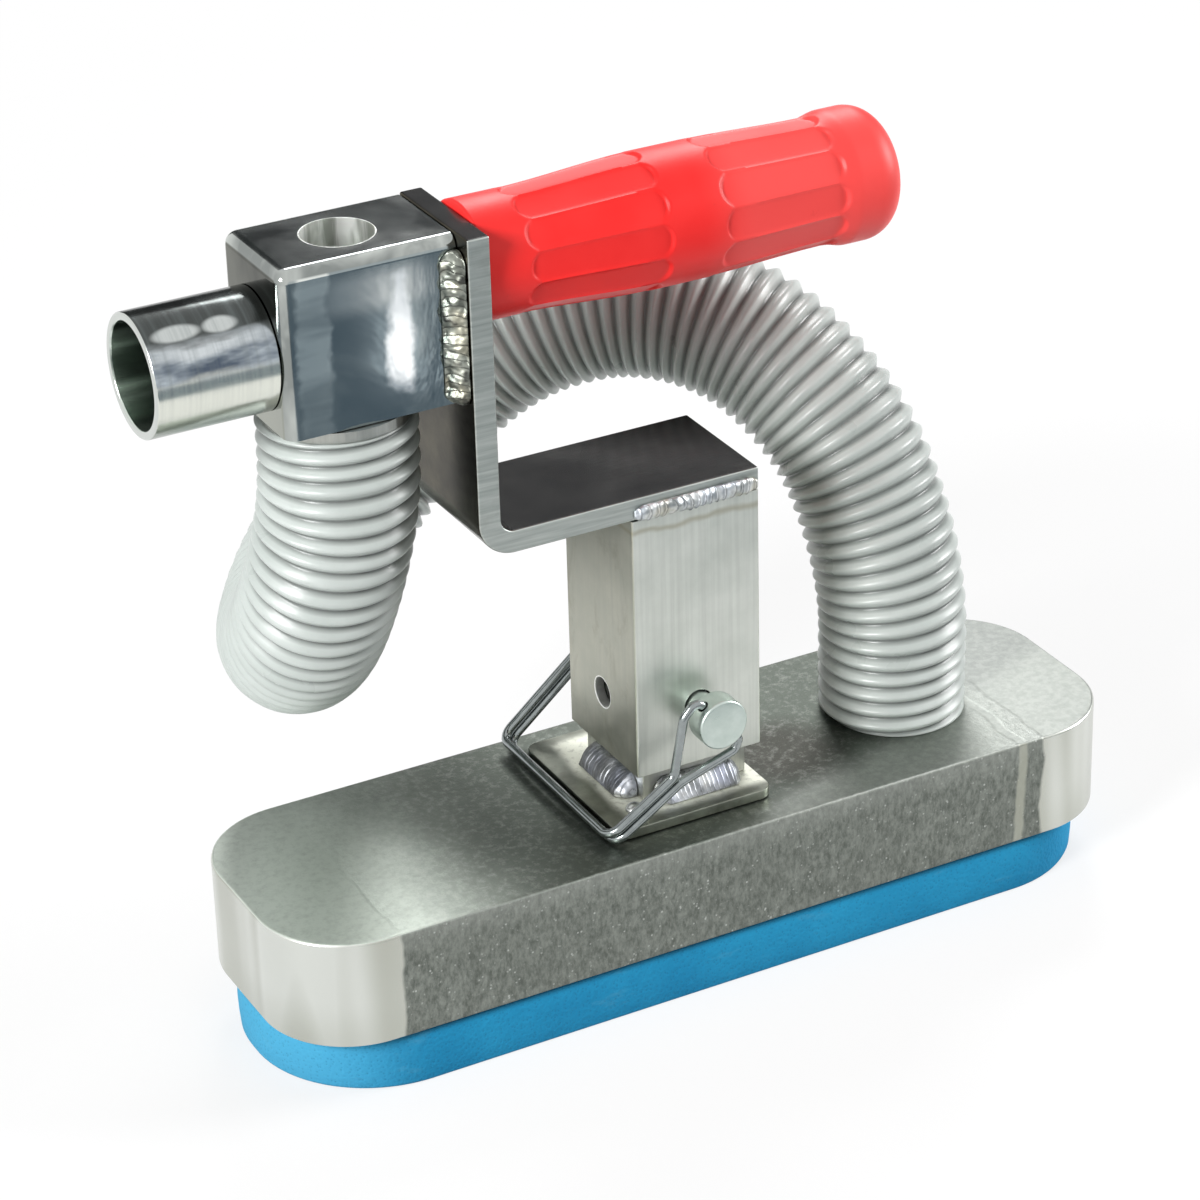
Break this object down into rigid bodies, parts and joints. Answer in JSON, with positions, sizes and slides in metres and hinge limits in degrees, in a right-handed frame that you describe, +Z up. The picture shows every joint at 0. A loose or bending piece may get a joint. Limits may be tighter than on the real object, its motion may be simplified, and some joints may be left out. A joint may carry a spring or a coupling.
{
  "type": "vacuum paver lifter",
  "caption": "Hand-held vacuum lifter: long hollow suction foot with sealing ring, square post locked by a turning pin with wire bail, angle bracket, valve block, hose and fluted grip.",
  "frame": {"origin": "on the floor, under the middle of the tool's outline without its hose", "axes": "+X along the foot towards the end with the hose port, +Z up, +Y away from the side with the lock pin's head"},
  "size_m": [0.285, 0.1576, 0.2411],
  "materials": {
    "aluminium": "ground and blasted",
    "polished_aluminium": "polished",
    "weld": "rippled weld bead",
    "sponge_rubber": "matt fine-celled sponge",
    "red_plastic": "moulded, half gloss",
    "hose_plastic": "corrugated, half gloss",
    "zinc": "zinc plated",
    "bright_steel": "bright drawn"
  },
  "bodies": {
    "lifter": {"suction_foot": "aluminium", "seal_ring": "sponge_rubber", "base_plate": "aluminium", "plate_rivet_1": "bright_steel", "plate_rivet_2": "bright_steel", "inner_stub": "aluminium", "weld_stub_front": "weld", "weld_stub_right": "weld", "weld_stub_back": "weld", "weld_stub_left": "weld", "outer_tube": "aluminium", "bracket": "aluminium", "weld_tube_front": "weld", "weld_tube_back": "weld", "valve_block": "polished_aluminium", "weld_block_front": "weld", "inlet_tube": "polished_aluminium", "hose_spigot_top": "aluminium", "hose_spigot_foot": "aluminium", "hose": "hose_plastic", "handle_tube": "aluminium", "grip": "red_plastic"},
    "locking_pin": {"lock_pin": "zinc", "bail": "bright_steel"}
  },
  "joints": [
    {"name": "pin_turn", "type": "hinge", "parent": "lifter", "child": "locking_pin", "pos_m": [0.008, 0, 0.082], "axis": [0, 1, 0], "range_deg": [0, 98]}
  ]
}
